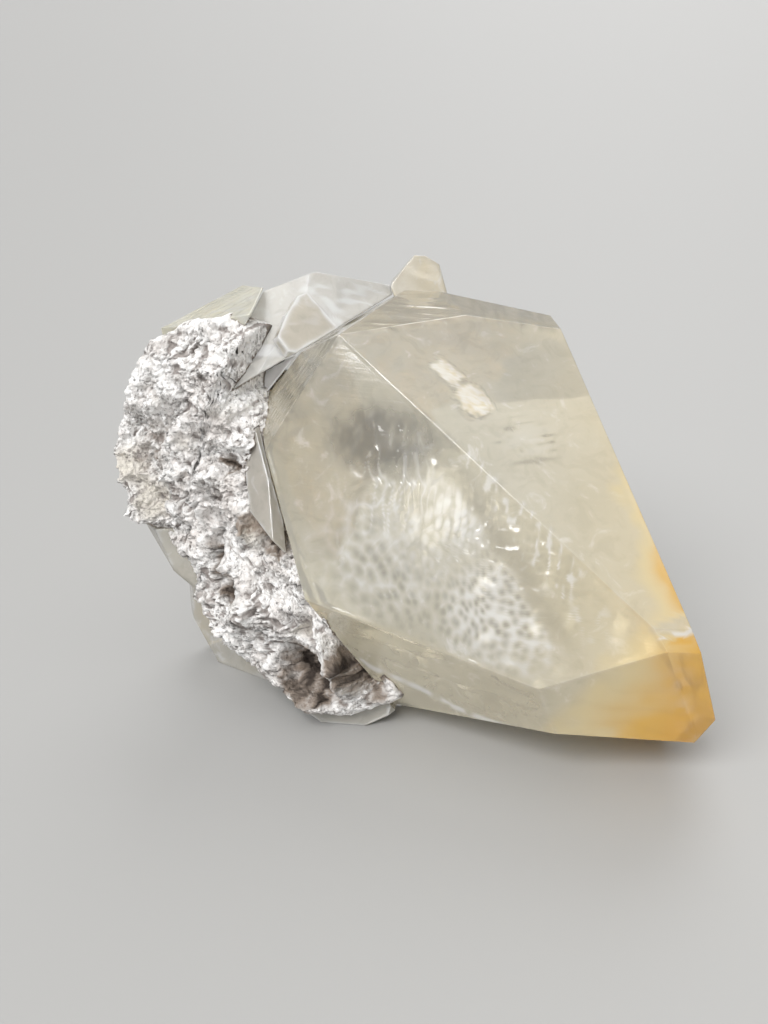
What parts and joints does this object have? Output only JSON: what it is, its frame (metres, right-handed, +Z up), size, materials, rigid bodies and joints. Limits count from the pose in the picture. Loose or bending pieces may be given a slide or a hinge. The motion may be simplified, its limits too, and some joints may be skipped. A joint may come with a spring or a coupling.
{
  "type": "calcite crystal group",
  "caption": "Clear calcite crystal group with a large orange-tinted pointed crystal, grown with smaller crystals on rough white rock matrix.",
  "frame": {"origin": "on the table, under the middle of the group's bounding box", "axes": "+Z up; +X to the right along the group's length, towards the tip of the main crystal; -Y is the front, where the matrix and the broad faces look"},
  "size_m": [0.1084, 0.0831, 0.0778],
  "materials": {
    "honey_clear_calcite": "clear, slightly milky crystal, vitreous gloss, turning honey orange at the tip",
    "white_clear_calcite": "clear colourless crystal with faint growth steps, vitreous gloss",
    "beige_calcite": "translucent beige crystal, satin gloss",
    "cream_calcite": "translucent cream crystal, vitreous gloss",
    "pale_yellow_calcite": "translucent pale yellow crystal, vitreous gloss",
    "matrix_rock": "rough white to grey rock, dull and crumbly, brown in its hollows"
  },
  "bodies": {
    "root": {"main_crystal": "honey_clear_calcite", "back_crystal": "white_clear_calcite", "shield_crystal": "beige_calcite", "side_crystal": "white_clear_calcite", "side_plate": "beige_calcite", "rear_crystal": "cream_calcite", "left_crystal": "pale_yellow_calcite", "middle_crystal": "white_clear_calcite", "lower_crystal": "white_clear_calcite", "foot_plate": "white_clear_calcite", "matrix": "matrix_rock"}
  },
  "joints": []
}
